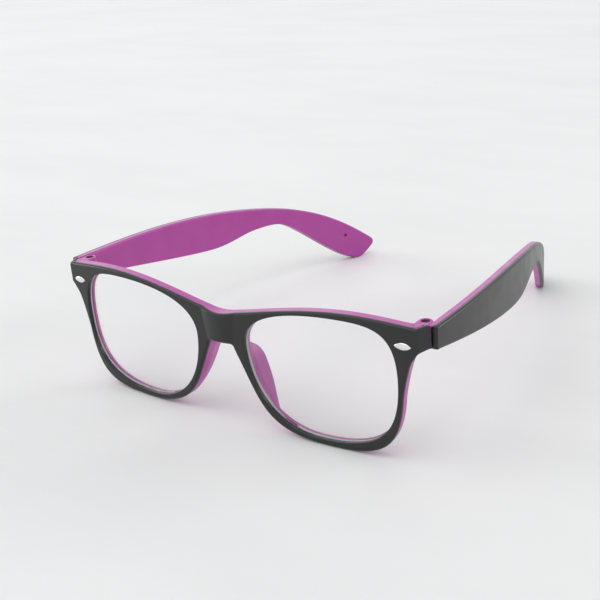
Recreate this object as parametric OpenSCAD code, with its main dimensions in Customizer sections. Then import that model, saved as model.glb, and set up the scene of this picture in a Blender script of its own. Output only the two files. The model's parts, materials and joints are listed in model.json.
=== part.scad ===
// Two-tone eyeglasses with trapezoid lenses, standing open on a flat surface.
// The rims and the temple tips touch the ground at z = 0.
// X runs across the frame, the front faces -Y, the temples run towards +Y.
// The origin lies on the ground, below the middle of the whole object.
// Left and right are the two sides of X as seen from the front: left is -X.

/* [Lenses] */
// Width of a lens opening
lens_w = 52.6; // [47:0.1:56]
// Height of a lens opening
lens_h = 40.9; // [36:0.1:46]
// Gap between the two lens openings
bridge_gap = 18.9; // [16:0.1:24]
// Thickness of a lens
lens_t = 1.8; // [1.2:0.1:2.2]
// How far a lens reaches under the rim all round
lens_bite = 0.9; // [0.5:0.1:1.2]

/* [Front] */
// Width of the rim below a lens opening
rim_bottom = 2; // [1.8:0.1:4]
// Width of the rim above a lens opening, at the brow
rim_top = 1.9; // [1.6:0.1:5]
// Width of the rim at the outer side of a lens opening
rim_outer = 2.1; // [1.8:0.1:4]
// Width of the rim at the nose, where it meets the bridge
rim_nasal = 3.8; // [3.4:0.1:5.5]
// How far the top of the bridge lies below the brow
bridge_dip = 6.5; // [4:0.1:9]
// Height of the bridge
bridge_h = 10.1; // [7:0.1:13]
// How far the round front of the bridge stands out before the rims, at its top
bridge_bulge = 1.2; // [0.6:0.1:2]
// Width of that round front, at its top
bridge_round_w = 12.4; // [10:0.2:14]
// Angle at which the round front leans back towards its foot
bridge_lean = 2.6; // [0:0.1:3]
// Width of the flat back of the bridge
bridge_flat = 9; // [5:0.5:11]
// Thickness of the black front layer
black_t = 1.3; // [1:0.1:2]
// Thickness of the coloured back layer
back_t = 3.1; // [2.8:0.1:5]
// Radius of the front's wrap, seen from above
wrap_r = 900; // [500:1:1500]
// Angle at which each half leaves the flat of the bridge
wrap_start = 1.5; // [0.5:0.1:5]

/* [End pieces] */
// Width from a lens opening to the corner of the front
end_w = 6.6; // [5.5:0.1:9]
// Drop from the brow to the top of the corner
end_drop = 1.1; // [0.5:0.1:3]
// Height of the end piece at its corner
end_h = 8; // [7.4:0.1:12]
// Length of the side wall from the corner to the temple, along Y
end_depth = 4.6; // [4.5:0.1:8]
// How far the side wall flares outwards over that length
end_flare = 2.2; // [0.5:0.1:4]

/* [Rivets] */
// Length of a rivet plate
rivet_l = 5.3; // [4:0.1:6]
// Height of a rivet plate
rivet_h = 2.6; // [1.6:0.1:3]
// How far a rivet plate stands proud
rivet_t = 0.6; // [0.3:0.1:1]
// Diameter of a rivet's pins
rivet_pin_d = 0.9; // [0.6:0.1:1.2]
// Length of a rivet's pins below the plate
rivet_pin_l = 3; // [1.5:0.1:3.4]
// Distance of a rivet's middle from the corner of the front
rivet_in = 4.5; // [4:0.1:6]
// Depth of a rivet's middle below the top of the corner
rivet_down = 5.6; // [3:0.1:6]

/* [Nose pads] */
// Height of a nose pad, from its tail at the foot of the rim to its top
pad_h = 25.3; // [20:0.1:26]
// How far a nose pad stands out behind the frame
pad_out = 5.2; // [2:0.1:6]
// Thickness of a nose pad
pad_t = 2; // [1.5:0.1:2.4]
// Angle at which a nose pad splays outwards towards the rear
pad_splay = 6; // [0:1:10]

/* [Temples] */
// Length of a temple along Y, from its front end to its rear corner
temple_l = 148; // [138:1:158]
// Height of a temple at its front end
temple_front_h = 7.1; // [6.8:0.1:10]
// Height of a temple at its widest
temple_belly_h = 13.9; // [11:0.1:17]
// Height of a temple where it bends down
temple_neck_h = 7.4; // [6:0.1:10]
// Width of the tip's end
tip_w = 10.3; // [8:0.1:12]
// Thickness of a temple's black outer layer
temple_black_t = 1.4; // [1:0.1:2]
// Thickness of a temple's coloured inner layer
temple_back_t = 2.1; // [1.5:0.1:3]
// Radius of a temple's inward bow, seen from above
bow_r = 337; // [280:1:600]
// How far a temple's outer face stands out from the end piece
temple_step = 1.7; // [0.3:0.1:2]
// Diameter of the small hole near a temple's tip
tip_hole_d = 1.4; // [0.8:0.1:2]

/* [Hinges] */
// Radius of the hinge knuckles
knuckle_r = 2.2; // [1.8:0.1:2.4]
// Distance of the hinge axis behind the end piece
hinge_back = 3.3; // [2.8:0.1:4]
// Distance of the hinge axis inboard of the temple's outer face
hinge_in = 5.5; // [5.2:0.1:6.2]
// Height of a temple's hinge knuckle
knuckle_h = 2.3; // [1.6:0.1:2.6]
// Diameter of the hinge screw
screw_d = 1.4; // [1:0.1:1.6]
// Diameter of the screw's head
screw_head_d = 2.6; // [2.2:0.1:3]
// Height of the screw's head
screw_head_h = 0.8; // [0.5:0.1:1]
// Width of the slot in the screw's head
slot_w = 0.4; // [0.2:0.05:0.5]

/* [Fits] */
// Radial clearance of the hinge screw, the rivet pins and the lenses
fit_gap = 0.05; // [0.02:0.01:0.1]
// Side gap between hinge knuckles
knuckle_gap = 0.12; // [0.05:0.01:0.3]
// Gap between a temple's front end and the end piece
butt_gap = 0.15; // [0.1:0.05:1]
// Clearance round a knuckle where the other half is cut away for it
relief_gap = 0.2; // [0.1:0.05:0.4]
// Glue gap between the black and the coloured layers
bond_gap = 0.02; // [0.01:0.01:0.05]

/* [Hidden] */

// Colours
black = [0.16, 0.16, 0.17];
purple = [0.62, 0.24, 0.55];
clear = [0.85, 0.92, 0.95, 0.35];
silver = [0.82, 0.82, 0.8];

// Smoothness of the large wraps, of small round features, and steps per curve
big_fn = 720;
small_fn = 48;
steps = 14;

// Margin by which cutting shapes run past what they cut
over = 1;

// The lens opening, right side, as its four outermost points
lens_in = bridge_gap / 2;
lens_out = lens_in + lens_w;
lens_low = rim_bottom;
lens_top = lens_low + lens_h;
nasal_pt = [lens_in, lens_low + 0.66 * lens_h];
top_pt = [lens_in + 0.628 * lens_w, lens_top];
outer_pt = [lens_out, lens_low + 0.585 * lens_h];
low_pt = [lens_in + 0.494 * lens_w, lens_low];

// Pull of the curves between those points, as shares of the opening's size
nasal_up = [0, 0.28 * lens_h];
top_in = [0.264 * lens_w, 0];
top_out = [0.24 * lens_w, 0];
outer_up = [0, 0.388 * lens_h];
outer_down = [0, 0.377 * lens_h];
low_out = [0.4 * lens_w, 0];
low_in = [0.396 * lens_w, 0];
nasal_down = [0, 0.24 * lens_h];

// Heights of the front
brow_z = lens_top + rim_top;
bridge_top_z = brow_z - bridge_dip;
bridge_low_z = bridge_top_z - bridge_h;
end_x = lens_out + end_w;
end_top_z = brow_z - end_drop;
end_low_z = end_top_z - end_h;

// The round front of the bridge: its radius, and the room that it needs before the rims
bulge_r = (pow(bridge_round_w / 2, 2) + pow(bridge_bulge, 2)) / (2 * bridge_bulge);
front_room = bridge_bulge + over;

// The wrap, seen from above: each half follows its own circle
flat_x = bridge_flat / 2;
wrap_x = flat_x - wrap_r * sin(wrap_start);
wrap_y = wrap_r * cos(wrap_start);
function front_y(x) = wrap_y - sqrt(wrap_r * wrap_r - pow(x - wrap_x, 2));
function front_turn(x) = asin((x - wrap_x) / wrap_r);
corner_y = front_y(end_x);
butt_y = corner_y + end_depth;
butt_x = end_x + end_flare;
front_t = black_t + back_t;
all_h = brow_z + 2 * over;

// The hinge
hinge_x = butt_x + temple_step - hinge_in;
hinge_y = butt_y + hinge_back;
temple_x = butt_x + temple_step;
temple_y = butt_y + butt_gap;
hinge_top_z = end_top_z - 0.5;
temple_low_z = end_top_z - 0.3 - temple_front_h;
lug_low_z = temple_low_z + 0.6;
hinge_mid_z = (hinge_top_z + lug_low_z) / 2;
knuckle_low_z = hinge_mid_z - knuckle_h / 2;
knuckle_top_z = hinge_mid_z + knuckle_h / 2;
lug_reach_y = hinge_y + knuckle_r;
knuckle_y0 = hinge_y - knuckle_r;
screw_r = screw_d / 2;
bore_r = screw_r + fit_gap;

// The temple's side view: key places along Y and key heights
temple_top_z = end_top_z - 0.3;
rear_y = temple_y + temple_l;
bend_y = temple_y + 0.641 * temple_l;
neck_y = temple_y + 0.607 * temple_l;
belly_y = temple_y + 0.466 * temple_l;
shank_y = temple_y + 0.75 * temple_l;
tip_y = rear_y - 9;
rear_z = 5.8;
bend_top_z = temple_top_z - 9;
neck_low_z = bend_top_z - temple_neck_h;
belly_low_z = temple_top_z - 4.5 - temple_belly_h;
shank_low_z = neck_low_z - 7.3;

// The temple's bow, seen from above
bow_y = temple_y + 8;
bow_x = temple_x - bow_r;
temple_t = temple_black_t + temple_back_t;

// A point on a cubic curve, and the direction square to it, to its left
function bez(a, b, c, d, t) =
    pow(1 - t, 3) * a + 3 * pow(1 - t, 2) * t * b + 3 * (1 - t) * t * t * c + t * t * t * d;
function tangent(a, b, c, d, t) =
    pow(1 - t, 2) * (b - a) + 2 * (1 - t) * t * (c - b) + t * t * (d - c);
function unit(v) = v / norm(v);
function left_of(v) = [-unit(v)[1], unit(v)[0]];

// A run of points from a to d; b and c are the handles; grow moves it to its left
function run(a, b, c, d, grow = 0) = [
    for (i = [0 : steps - 1])
        let (t = i / steps)
        bez(a, b, c, d, t) + grow * left_of(tangent(a, b, c, d, t))
];

// The lens opening as a closed loop, clockwise from the nose, grown by grow all round
function lens_loop(grow) = concat(
    run(nasal_pt, nasal_pt + nasal_up, top_pt - top_in, top_pt, grow),
    run(top_pt, top_pt + top_out, outer_pt + outer_up, outer_pt, grow),
    run(outer_pt, outer_pt - outer_down, low_pt + low_out, low_pt, grow),
    run(low_pt, low_pt - low_in, nasal_pt - nasal_down, nasal_pt, grow)
);

// Corner points of the front's outline, right side
arch_top_pt = [0, bridge_top_z];
brow_pt = [lens_in + 0.73 * lens_w, brow_z];
corner_pt = [end_x, end_top_z];
corner_low_pt = [end_x, end_low_z + 0.3];
flare_top_pt = [end_x + end_flare + over, end_top_z];
flare_low_pt = [end_x + end_flare + over, end_low_z + 1.2];
notch_pt = [end_x - 2.2, end_low_z - 2.7];
side_pt = [lens_out + rim_outer - 1, lens_low + 0.44 * lens_h];
foot_pt = [low_pt[0] + 2, 0];
nose_pt = [lens_in - rim_nasal, bridge_low_z - 2.6];
arch_pt = [nose_pt[0] - 1.9, bridge_low_z];

// Directions and pulls of the curves between them
nose_dir = unit([-0.447, 0.894]);
side_dir = unit([0.09, 1]);
notch_dir = unit([0.55, 0.83]);
corner_dir = unit([1, -0.05]);
arch_pull = [7.9, 0];
brow_pull_in = [21, 0];
brow_pull_out = [9, 0];
corner_pull = 8.9;
notch_pull = 2.5;
side_pull_up = 1.5;
side_pull_down = 18;
foot_pull_out = [17, 0];
foot_pull_in = [23.5, 0];
nose_pull_down = 16.8;
nose_pull_up = 1.6;
arch_low_pull = [1.3, 0];

// Half the outline, from the middle of the bridge's top round to its underside
function half_outline() = concat(
    run(arch_top_pt, arch_top_pt + arch_pull, brow_pt - brow_pull_in, brow_pt),
    run(brow_pt, brow_pt + brow_pull_out, corner_pt - corner_pull * corner_dir, corner_pt),
    [corner_pt, flare_top_pt, flare_low_pt, corner_low_pt],
    run(notch_pt, notch_pt - notch_pull * notch_dir, side_pt + side_pull_up * side_dir, side_pt),
    run(side_pt, side_pt - side_pull_down * side_dir, foot_pt + foot_pull_out, foot_pt),
    run(foot_pt, foot_pt - foot_pull_in, nose_pt - nose_pull_down * nose_dir, nose_pt),
    run(nose_pt, nose_pt + nose_pull_up * nose_dir, arch_pt + arch_low_pull, arch_pt),
    [arch_pt]
);
function flip(points) = [for (i = [len(points) - 1 : -1 : 0]) [-points[i][0], points[i][1]]];

// A drawing in X and Z pushed back along Y, over the whole depth of the front
module along_y(y0, y1) {
    translate([0, y1, 0])
        rotate([90, 0, 0])
            linear_extrude(y1 - y0)
                children();
}

module on_side(side) {
    mirror([side < 0 ? 1 : 0, 0, 0])
        children();
}

// The space behind the front's outer surface, moved back by t
module behind(t) {
    intersection() {
        for_both_wraps(wrap_r - t);
        translate([-end_x - 2 * end_flare, t, -over])
            cube([2 * end_x + 4 * end_flare, 4 * end_depth + 4 * corner_y, all_h]);
    }
}

// The same space with the round front of the bridge added to it
module behind_face(t) {
    behind(t);
    translate([0, bulge_r - bridge_bulge, bridge_top_z])
        rotate([bridge_lean, 0, 0])
            translate([0, 0, -all_h])
                cylinder(r = bulge_r - t, h = 2 * all_h, $fn = small_fn * 4);
}

module for_both_wraps(r) {
    intersection() {
        translate([wrap_x, wrap_y, -over])
            cylinder(r = r, h = all_h, $fn = big_fn);
        translate([-wrap_x, wrap_y, -over])
            cylinder(r = r, h = all_h, $fn = big_fn);
    }
}

// The wedge between the two side walls, moved inwards by t, up to the temples and,
// where it cuts something away, straight on past them
module between_sides(t, past = 0) {
    slope = end_flare / end_depth;
    inset = t * sqrt(1 + slope * slope);
    near_x = end_x - inset - slope * (corner_y + front_room);
    far_x = end_x - inset + end_flare;
    near_side = [[-near_x, -front_room], [near_x, -front_room], [far_x, butt_y]];
    past_side = past > 0 ? [[far_x, butt_y + past], [-far_x, butt_y + past]] : [];
    translate([0, 0, -over])
        linear_extrude(all_h)
            polygon(concat(near_side, past_side, [[-far_x, butt_y]]));
}

// The front's silhouette
module front_drawing() {
    polygon(concat(half_outline(), flip(half_outline())));
}

module lens_drawing(grow) {
    polygon(lens_loop(grow));
}

// Sets its children upright on the front's outer surface, at x and z, with
// their own +Z pointing out of the frame
module on_front(x, z) {
    translate([x, front_y(x), z])
        rotate([0, 0, front_turn(x)])
            rotate([90, 0, 0])
                children();
}

// One eye-shaped rivet plate with a low dome and two pins
rivet_dome = 0.7 * rivet_t;
dome_r = (pow(rivet_l / 2, 2) + pow(rivet_dome, 2)) / (2 * rivet_dome);
eye_r = (pow(rivet_l / 2, 2) + pow(rivet_h / 2, 2)) / rivet_h;
pin_step = rivet_l * 0.24;
rivet_x = end_x - rivet_in;
rivet_z = end_top_z - rivet_down;

module eye_side(side) {
    translate([0, side * (eye_r - rivet_h / 2), bond_gap])
        cylinder(r = eye_r, h = rivet_t, $fn = small_fn * 2);
}

module rivet() {
    color(silver)
        on_front(rivet_x, rivet_z) {
            intersection() {
                eye_side(1);
                eye_side(-1);
                translate([0, 0, rivet_t - dome_r])
                    sphere(r = dome_r, $fn = small_fn * 4);
            }
            for (side = [-1, 1])
                translate([side * pin_step, 0, -rivet_pin_l])
                    cylinder(d = rivet_pin_d, h = rivet_pin_l + bond_gap + rivet_t / 3,
                        $fn = small_fn);
        }
}

module rivet_holes() {
    for (side = [-1, 1])
        translate([side * pin_step, 0, -rivet_pin_l - fit_gap])
            cylinder(d = rivet_pin_d + 2 * fit_gap, h = rivet_pin_l + over, $fn = small_fn);
}

// The two lens openings through the whole front, grown by grow
module lens_holes(grow) {
    for (side = [-1, 1])
        on_side(side)
            along_y(-front_room, butt_y + over)
                lens_drawing(grow);
}

// Black front layer
module front_face() {
    color(black)
        difference() {
            intersection() {
                along_y(-front_room, butt_y + over)
                    front_drawing();
                behind_face(0);
                between_sides(0);
            }
            intersection() {
                behind_face(black_t);
                between_sides(black_t, over);
            }
            translate([-end_x * 2, butt_y, -over])
                cube([end_x * 4, end_depth, all_h]);
            lens_holes(0);
            for (side = [-1, 1])
                on_side(side)
                    on_front(rivet_x, rivet_z)
                        rivet_holes();
        }
}

// The seat of a lens: a step cut into the back layer from its front
module lens_seats() {
    difference() {
        lens_holes(lens_bite);
        behind(black_t + lens_t + 3 * fit_gap);
    }
}

// One nose pad: a band along the nose edge of the rim, cut to the pad's profile, which
// is full near its top and runs out towards its foot, and turned to splay outwards
pad_root = 1.2;
pad_top_z = nose_pt[1] + 1.4;
pad_low_z = pad_top_z - pad_h - pad_root;
pad_peak = [pad_out, pad_top_z - 0.25 * pad_h];
pad_mid_x = nose_pt[0] + 5.3;
pad_top_pull = [2.8, 0.2];
pad_peak_pull = [0, 0.17 * pad_h];
pad_low_pull = [1.1 * pad_out, 0.32 * pad_h];
nose_end = nose_pt + 1.5 * nose_dir;
nose_inward = [nose_dir[1], -nose_dir[0]];

function nose_edge(grow) =
    run(foot_pt, foot_pt - foot_pull_in, nose_pt - nose_pull_down * nose_dir, nose_pt, grow);
function backwards(points) = [for (i = [len(points) - 1 : -1 : 0]) points[i]];

module pad_band() {
    polygon(concat(nose_edge(0), [nose_end, nose_end + pad_t * nose_inward],
        backwards(nose_edge(-pad_t))));
}

// The pad's profile, in distance behind the frame and height
module pad_profile() {
    polygon(concat(
        run([-pad_root, pad_top_z], [-pad_root, pad_top_z] + pad_top_pull,
            pad_peak + pad_peak_pull, pad_peak),
        run(pad_peak, pad_peak - 1.4 * pad_peak_pull,
            [-pad_root, pad_low_z] + pad_low_pull, [-pad_root, pad_low_z]),
        [[-pad_root, pad_low_z]]
    ));
}

module nose_pad() {
    intersection() {
        behind(front_t - pad_root);
        translate([pad_mid_x, front_t, 0])
            rotate([0, 0, -pad_splay])
                translate([-pad_mid_x, 0, 0]) {
                    intersection() {
                        along_y(-2 * pad_root, pad_out + over)
                            pad_band();
                        rotate([90, 0, 90])
                            linear_extrude(end_x)
                                pad_profile();
                    }
                }
    }
}

// A hinge lug's plan: a round end joined to the end piece by a straight arm
module lug(z0, z1) {
    translate([hinge_x, hinge_y, z0])
        cylinder(r = knuckle_r, h = z1 - z0, $fn = small_fn);
    translate([hinge_x - knuckle_r, butt_y - fit_gap, z0])
        cube([2 * knuckle_r, hinge_back + fit_gap, z1 - z0]);
}

// The recess for the temple's knuckle in the end piece
module knuckle_room() {
    translate([hinge_x, hinge_y, knuckle_low_z - knuckle_gap])
        cylinder(r = knuckle_r + relief_gap, h = knuckle_h + 2 * knuckle_gap, $fn = small_fn);
    translate([hinge_x - knuckle_r - over, hinge_y, knuckle_low_z - knuckle_gap])
        cube([2 * knuckle_r + 2 * over, knuckle_r + over, knuckle_h + 2 * knuckle_gap]);
}

// The bore for the hinge screw with the seat for its head
module screw_bore() {
    translate([hinge_x, hinge_y, lug_low_z - over])
        cylinder(r = bore_r, h = hinge_top_z - lug_low_z + 2 * over, $fn = small_fn);
    translate([hinge_x, hinge_y, hinge_top_z - screw_head_h])
        cylinder(d = screw_head_d + 2 * fit_gap, h = screw_head_h + over, $fn = small_fn);
}

// Coloured back layer with the lens seats, the nose pads and the hinge lugs
module frame_back() {
    color(purple)
        difference() {
            union() {
                difference() {
                    intersection() {
                        along_y(-front_room, butt_y + over)
                            front_drawing();
                        behind_face(black_t + bond_gap);
                        between_sides(black_t + bond_gap);
                    }
                    difference() {
                        behind(front_t);
                        end_blocks();
                    }
                    lens_holes(0);
                }
                for (side = [-1, 1])
                    on_side(side) {
                        nose_pad();
                        lug(knuckle_top_z + knuckle_gap, hinge_top_z);
                        lug(lug_low_z, knuckle_low_z - knuckle_gap);
                    }
            }
            lens_seats();
            for (side = [-1, 1])
                on_side(side) {
                    knuckle_room();
                    screw_bore();
                    on_front(rivet_x, rivet_z)
                        rivet_holes();
                }
        }
}

// The zone at each end where the back layer reaches back to the temple
module end_blocks() {
    for (side = [-1, 1])
        on_side(side)
            translate([hinge_x - knuckle_r, -over, end_low_z - 2 * over])
                cube([end_w + end_flare + 2 * over, butt_y + over, end_h + 4 * over]);
}

// A clear lens, held between the two layers of the front
module lens() {
    color(clear)
        difference() {
            intersection() {
                along_y(-front_room, butt_y + over)
                    lens_drawing(lens_bite - fit_gap);
                behind(black_t + fit_gap);
            }
            behind(black_t + fit_gap + lens_t);
        }
}

// The hinge screw, with a slotted head
module hinge_screw() {
    color(silver)
        translate([hinge_x, hinge_y, 0])
            difference() {
                union() {
                    translate([0, 0, lug_low_z + fit_gap])
                        cylinder(d = screw_d, h = hinge_top_z - lug_low_z - 2 * fit_gap,
                            $fn = small_fn);
                    translate([0, 0, hinge_top_z - screw_head_h + fit_gap])
                        cylinder(d = screw_head_d, h = screw_head_h - 2 * fit_gap,
                            $fn = small_fn);
                }
                translate([-screw_head_d, -slot_w / 2, hinge_top_z - screw_head_h / 2])
                    cube([2 * screw_head_d, slot_w, screw_head_h]);
            }
}

// Key points of the temple's side view, as [y, z], from the top front end round
temple_a = [temple_y, temple_top_z];
temple_bend = [bend_y, bend_top_z];
temple_rear = [rear_y, rear_z];
tip_dir = unit([-0.78, -0.63]);
temple_end = temple_rear + 0.45 * tip_w * tip_dir;
temple_tip = [tip_y, 0];
temple_shank = [shank_y, shank_low_z];
temple_neck = [neck_y, neck_low_z];
temple_belly = [belly_y, belly_low_z];
temple_low = [temple_y, temple_low_z];

// Directions and pulls of the curves between them
bend_dir = unit([0.974, -0.228]);
rear_dir = unit([0.748, -0.664]);
shank_dir = unit([0.79, -0.61]);
front_top_pull = [36.9, -1.1];
bend_pull_front = 35.6;
bend_pull_rear = 21.9;
rear_pull = 22.5;
rear_round = 3;
rear_round_pull = 1.7;
end_pull = 2;
tip_pull_rear = [2.2, 0];
tip_pull_front = [-6, 0.3];
shank_pull_low = 12;
shank_pull_up = 10.3;
neck_pull_rear = [10.6, 0];
neck_pull_front = [-8.5, 0];
belly_pull_rear = [8.5, 0];
belly_pull_front = [-13.5, 0];
front_low_pull = [9.2, -1.7];

// The temple's side view
module temple_drawing() {
    polygon(concat(
        run(temple_a, temple_a + front_top_pull, temple_bend - bend_pull_front * bend_dir,
            temple_bend),
        run(temple_bend, temple_bend + bend_pull_rear * bend_dir,
            temple_rear - rear_pull * rear_dir, temple_rear - rear_round * rear_dir),
        run(temple_rear - rear_round * rear_dir,
            temple_rear - (rear_round - rear_round_pull) * rear_dir,
            temple_rear + (rear_round - rear_round_pull) * tip_dir,
            temple_rear + rear_round * tip_dir),
        run(temple_end, temple_end + end_pull * tip_dir, temple_tip + tip_pull_rear, temple_tip),
        run(temple_tip, temple_tip + tip_pull_front, temple_shank + shank_pull_low * shank_dir,
            temple_shank),
        run(temple_shank, temple_shank - shank_pull_up * shank_dir,
            temple_neck + neck_pull_rear, temple_neck),
        run(temple_neck, temple_neck + neck_pull_front, temple_belly + belly_pull_rear,
            temple_belly),
        run(temple_belly, temple_belly + belly_pull_front, temple_low + front_low_pull,
            temple_low),
        [temple_low]
    ));
}

// The side view pushed through a bowed shell, whose outer face lies t0 inside
// the temple's outer face and whose inner face lies t1 inside it
module temple_shell(t0, t1) {
    intersection() {
        translate([temple_x + over, 0, 0])
            rotate([90, 0, -90])
                mirror([1, 0, 0])
                    linear_extrude(temple_x)
                        temple_drawing();
        difference() {
            translate([bow_x, bow_y, -over])
                cylinder(r = bow_r - t0, h = all_h, $fn = big_fn);
            translate([bow_x, bow_y, -2 * over])
                cylinder(r = bow_r - t1, h = all_h + 2 * over, $fn = big_fn);
        }
    }
}

// The small hole through the tip, square to the temple's face
tip_hole_y = rear_y - 15;
tip_hole_z = 12.2;
tip_turn = asin((tip_hole_y - bow_y) / bow_r);

module tip_hole() {
    translate([bow_x, bow_y, tip_hole_z])
        rotate([0, 0, tip_turn])
            translate([bow_r - temple_t - over, 0, 0])
                rotate([0, 90, 0])
                    cylinder(d = tip_hole_d, h = temple_t + 2 * over, $fn = small_fn);
}

// Black outer layer of a temple
module temple_outer() {
    color(black)
        difference() {
            temple_shell(0, temple_black_t);
            tip_hole();
        }
}

// Coloured inner layer of a temple with its hinge knuckle
module temple_inner() {
    color(purple)
        difference() {
            union() {
                temple_shell(temple_black_t + bond_gap, temple_t);
                translate([hinge_x, hinge_y, knuckle_low_z])
                    cylinder(r = knuckle_r, h = knuckle_h, $fn = small_fn);
                translate([hinge_x, hinge_y, knuckle_low_z])
                    cube([temple_x - temple_black_t - hinge_x - temple_back_t / 2,
                        knuckle_r, knuckle_h]);
            }
            lug_room(knuckle_top_z, hinge_top_z + over);
            lug_room(lug_low_z - relief_gap, knuckle_low_z);
            screw_bore();
            tip_hole();
        }
}

// The room for a lug of the front and its arm in the temple's inner layer
module lug_room(z0, z1) {
    translate([hinge_x, hinge_y, z0])
        cylinder(r = knuckle_r + relief_gap, h = z1 - z0, $fn = small_fn);
    translate([hinge_x - knuckle_r - relief_gap, temple_y - over, z0])
        cube([2 * (knuckle_r + relief_gap), hinge_y - temple_y + over, z1 - z0]);
}

// Sets a piece, drawn for the right side with the bridge's face at y = 0, on its own
// side and moves it so that the origin is below the middle of the whole object
mid_y = (rear_y - bridge_bulge) / 2;

module place(side = 1) {
    translate([0, -mid_y, 0])
        on_side(side)
            children();
}

place() front_face();
place() frame_back();
place(-1) lens();  // lens_left
place() lens();  // lens_right
place(-1) rivet();  // rivet_left
place() rivet();  // rivet_right
place(-1) hinge_screw();  // hinge_screw_left
place() hinge_screw();  // hinge_screw_right
place(-1) temple_outer();  // temple_outer_left
place() temple_outer();  // temple_outer_right
place(-1) temple_inner();  // temple_inner_left
place() temple_inner();  // temple_inner_right
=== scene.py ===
# %% [markdown]
# # Two-tone eyeglasses with trapezoid lenses
# These are plastic eyeglasses that stand open on a table: a black front bonded to a
# purple back, clear lenses held between the two, two oval rivet plates, and temples
# that are black outside and purple inside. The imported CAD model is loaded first. It
# fixes every size, and each finished piece rides on one of its bodies.

# %% Load the frame
import json
import math
from functools import partial

import bmesh
import bpy
import numpy as np
from mathutils import Matrix, Vector
from mathutils.geometry import delaunay_2d_cdt


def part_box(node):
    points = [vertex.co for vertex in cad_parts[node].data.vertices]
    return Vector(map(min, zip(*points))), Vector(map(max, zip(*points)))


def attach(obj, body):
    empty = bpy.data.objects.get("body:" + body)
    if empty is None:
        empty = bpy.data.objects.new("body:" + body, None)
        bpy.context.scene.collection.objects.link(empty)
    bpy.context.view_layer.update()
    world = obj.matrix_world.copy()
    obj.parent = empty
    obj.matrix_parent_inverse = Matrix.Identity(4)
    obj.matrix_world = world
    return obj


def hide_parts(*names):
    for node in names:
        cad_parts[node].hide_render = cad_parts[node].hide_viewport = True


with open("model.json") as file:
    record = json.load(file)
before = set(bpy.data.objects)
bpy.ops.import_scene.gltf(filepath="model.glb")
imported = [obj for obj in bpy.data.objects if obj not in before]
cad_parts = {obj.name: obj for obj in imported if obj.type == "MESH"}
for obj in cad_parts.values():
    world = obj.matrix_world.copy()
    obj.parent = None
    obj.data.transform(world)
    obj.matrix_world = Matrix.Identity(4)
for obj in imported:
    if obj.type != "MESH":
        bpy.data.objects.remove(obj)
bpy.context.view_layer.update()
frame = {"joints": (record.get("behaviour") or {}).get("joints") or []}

# %% [markdown]
# All drawing is done in millimetres, with y = 0 at the flat of the front and z = 0 on the
# table, and is brought to the frame's metres at the very end. The frame itself says where
# the hinges turn, so the drawing is hung on that axis, which lies a known distance behind
# the flat of the front.

# %% Units and reference values
MM = 0.001
hinge_y = 11.876
fold = [j for j in frame["joints"] if j["name"] == "temple_right_fold"][0]
hinge_x = fold["pos_m"][0] / MM
front_y = fold["pos_m"][1] / MM - hinge_y
screw_box = [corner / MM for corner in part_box("hinge_screw_right")]
print("front at y %.2f mm, hinge axis at x %.2f mm" % (front_y, hinge_x))


def to_frame(points):
    """Drawing millimetres to frame metres."""
    points = np.array(points, float)
    points[:, 1] += front_y
    return points * MM


# %% [markdown]
# The shapes of the rims and temples are smooth curves between a few key points, as a
# spectacle designer draws them. A cubic curve takes two end points and two handles. The
# loops are then sampled evenly and their corners are softened a little, because moulded
# plastic has no sharp corner anywhere.

# %% Curves and loops
def curve(a, b, c, d, count=36):
    """Points on a cubic curve from a towards d, without d itself."""
    a, b, c, d = (np.array(p, float) for p in (a, b, c, d))
    t = np.linspace(0, 1, count, endpoint=False)[:, None]
    return (1 - t) ** 3 * a + 3 * (1 - t) ** 2 * t * b + 3 * (1 - t) * t * t * c + t ** 3 * d


def direction(x, y):
    return np.array([x, y], float) / math.hypot(x, y)


def soft_window(width, step):
    """Weights of a bell curve of this width, one for each step, four widths each way."""
    reach = np.arange(-int(4 * width / step), int(4 * width / step) + 1) * step
    weight = np.exp(-0.5 * (reach / width) ** 2)
    return weight / weight.sum()


def soften(points, step, corner):
    """A closed loop sampled every step mm, with its corners rounded over corner mm."""
    points = np.vstack([points, points[:1]])
    along = np.r_[0, np.cumsum(np.linalg.norm(np.diff(points, axis=0), axis=1))]
    fine = step / 5
    count = int(round(along[-1] / fine))
    where = np.linspace(0, along[-1], count, endpoint=False)
    loop = np.stack([np.interp(where, along, points[:, k]) for k in (0, 1)], 1)
    weight = soft_window(corner, fine)
    half = len(weight) // 2
    wrapped = np.vstack([loop[-half:], loop, loop[:half]])
    loop = np.stack([np.convolve(wrapped[:, k], weight, "valid") for k in (0, 1)], 1)
    keep = max(8, int(round(along[-1] / step)))
    picks = np.linspace(0, len(loop), keep, endpoint=False).astype(int)
    return loop[picks]


def area(loop):
    x, y = loop[:, 0], loop[:, 1]
    return 0.5 * float(np.sum(x * np.roll(y, -1) - np.roll(x, -1) * y))


def ring(x, y, radius_x, radius_y, count=24):
    turn = np.linspace(0, 2 * math.pi, count, endpoint=False)
    return np.stack([x + radius_x * np.cos(turn), y + radius_y * np.sin(turn)], 1)


square = np.array([[0, 0], [9, 0], [9, 9], [0, 9]])
print("a 9 mm square, softened, has", len(soften(square, 0.6, 0.4)), "points")

# %% [markdown]
# Nearly every piece here is a plate: a flat drawing with holes, some thickness, rounded
# edges, and a gentle bend. One builder makes them all. Each loop gets a stack of rings
# that run over the edge, from the front face round to the back face, and the two faces
# between the loops are filled with small, even triangles, so that the gloss on them
# stays smooth. A place function then bends the finished plate into the object.

# %% The plate builder
def inward(loop, hole):
    """Unit directions from a loop into the material."""
    along = np.roll(loop, -1, axis=0) - np.roll(loop, 1, axis=0)
    along /= np.linalg.norm(along, axis=1)[:, None]
    left = np.stack([-along[:, 1], along[:, 0]], 1)
    side = 1 if (area(loop) > 0) != hole else -1
    return side * left


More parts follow.
